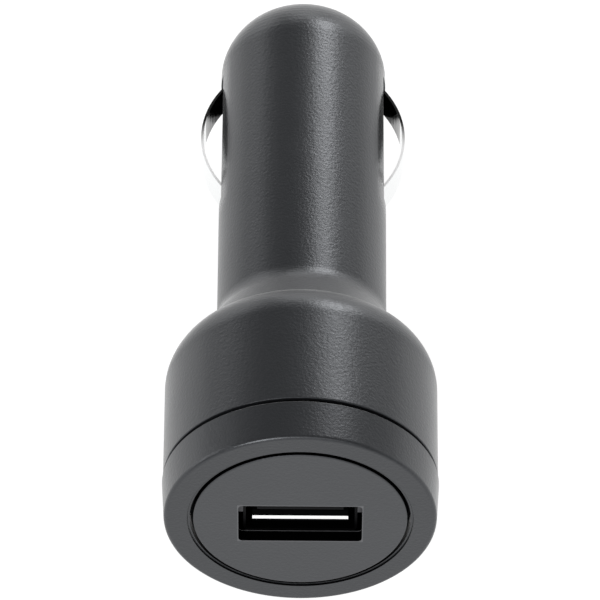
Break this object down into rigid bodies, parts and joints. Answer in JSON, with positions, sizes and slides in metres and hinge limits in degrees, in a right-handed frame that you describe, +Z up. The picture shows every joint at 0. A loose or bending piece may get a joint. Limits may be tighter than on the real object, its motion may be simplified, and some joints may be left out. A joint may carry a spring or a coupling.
{
  "type": "car usb charger plug",
  "caption": "Plug for a 12 V car socket with a USB-A port in its wide head, a tapered neck, a barrel with bowed side contacts and a sprung tip in a domed nose.",
  "frame": {"origin": "on the plug's axis at the barrel's root, where the barrel leaves the neck", "axes": "+Y along the axis towards the nose, the port faces -Y, the side contacts are at +X and -X, +Z up"},
  "size_m": [0.032, 0.0768, 0.032],
  "materials": {
    "black_plastic": "satin black, fine grain",
    "bezel_plastic": "satin black",
    "face_plastic": "satin black",
    "shell_steel": "plain folded sheet",
    "tongue_plastic": "white",
    "gilt": "plated",
    "board": "glass laminate with green mask",
    "chip_body": "black moulding",
    "fuse_body": "ivory",
    "ceramic": "tan",
    "can_sleeve": "can in a dark blue sleeve",
    "ferrite": "sintered ferrite",
    "copper": "enamelled copper wire",
    "nickel": "nickel plated",
    "spring_steel": "spring wire",
    "strip_steel": "bright plated strip",
    "lead_sleeve": "red sleeve"
  },
  "bodies": {
    "body": {"housing": "black_plastic", "bezel_ring": "bezel_plastic", "face_plate": "face_plastic", "usb_shell": "shell_steel", "usb_tongue": "tongue_plastic", "usb_contact_1": "gilt", "usb_contact_2": "gilt", "usb_contact_3": "gilt", "usb_contact_4": "gilt", "main_board": "board", "regulator_chip": "chip_body", "diode": "chip_body", "fuse": "fuse_body", "resistor_1": "chip_body", "resistor_2": "chip_body", "ceramic_capacitor": "ceramic", "input_capacitor": "can_sleeve", "output_capacitor": "can_sleeve", "inductor_core": "ferrite", "inductor_winding": "copper", "spring_seat": "nickel", "tip_spring": "spring_steel", "right_lead": "lead_sleeve", "left_lead": "lead_sleeve"},
    "tip": {"tip_contact": "nickel"},
    "right_strip": {"right_contact": "strip_steel"},
    "left_strip": {"left_contact": "strip_steel"}
  },
  "joints": [
    {"name": "tip_press", "type": "slide", "parent": "body", "child": "tip", "axis": [0, -1, 0], "range_m": [0, 0.0026], "stiffness_N_per_m": 1500, "deforming": ["tip_spring"]},
    {"name": "right_contact_press", "type": "slide", "parent": "body", "child": "right_strip", "axis": [-1, 0, 0], "range_m": [0, 0.0023], "stiffness_N_per_m": 2000, "deforming": ["right_lead"]},
    {"name": "left_contact_press", "type": "slide", "parent": "body", "child": "left_strip", "axis": [1, 0, 0], "range_m": [0, 0.0023], "stiffness_N_per_m": 2000, "deforming": ["left_lead"]}
  ]
}
